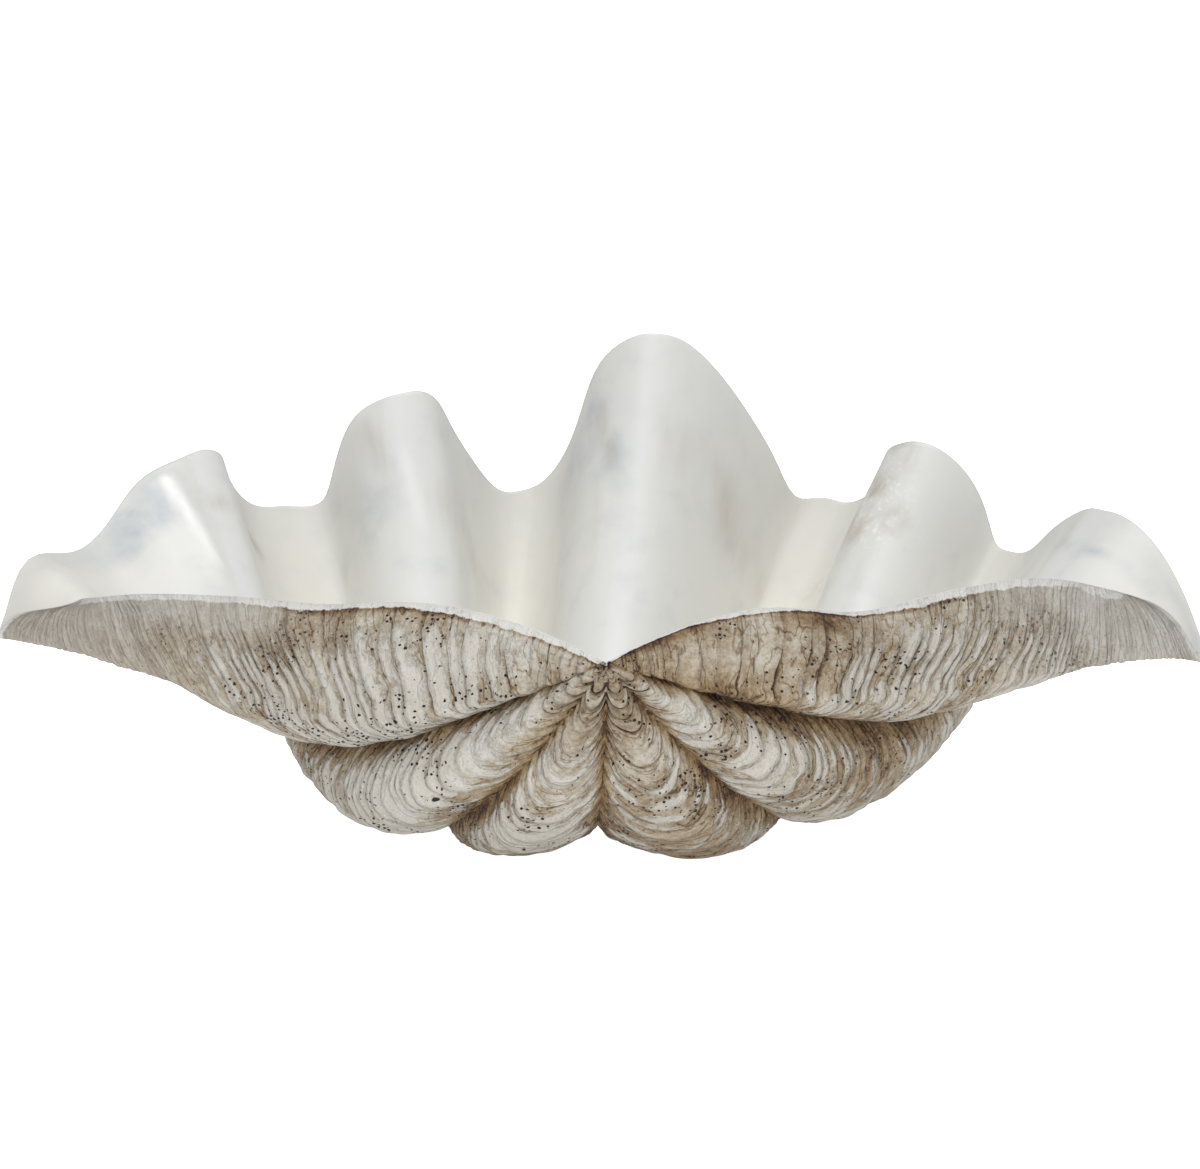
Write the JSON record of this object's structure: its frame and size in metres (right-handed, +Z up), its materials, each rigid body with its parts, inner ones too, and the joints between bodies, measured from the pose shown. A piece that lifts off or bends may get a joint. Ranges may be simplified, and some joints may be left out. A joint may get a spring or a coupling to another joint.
{
  "type": "giant clam shell valve",
  "caption": "Fluted giant clam valve, ledged outside and smooth inside, lying on its ribs with the hollow up and a wavy rim.",
  "frame": {"origin": "on the floor under the middle of the shell's box", "axes": "+X to the right along the width of the hinge side, +Y from the umbo to the far rim, +Z up out of the hollow"},
  "size_m": [0.641, 0.3944, 0.2482],
  "materials": {
    "shell": "satin off-white inside, chalky cream ledges with brown in the recesses outside"
  },
  "bodies": {
    "root": {"clam_shell": "shell"}
  },
  "joints": []
}
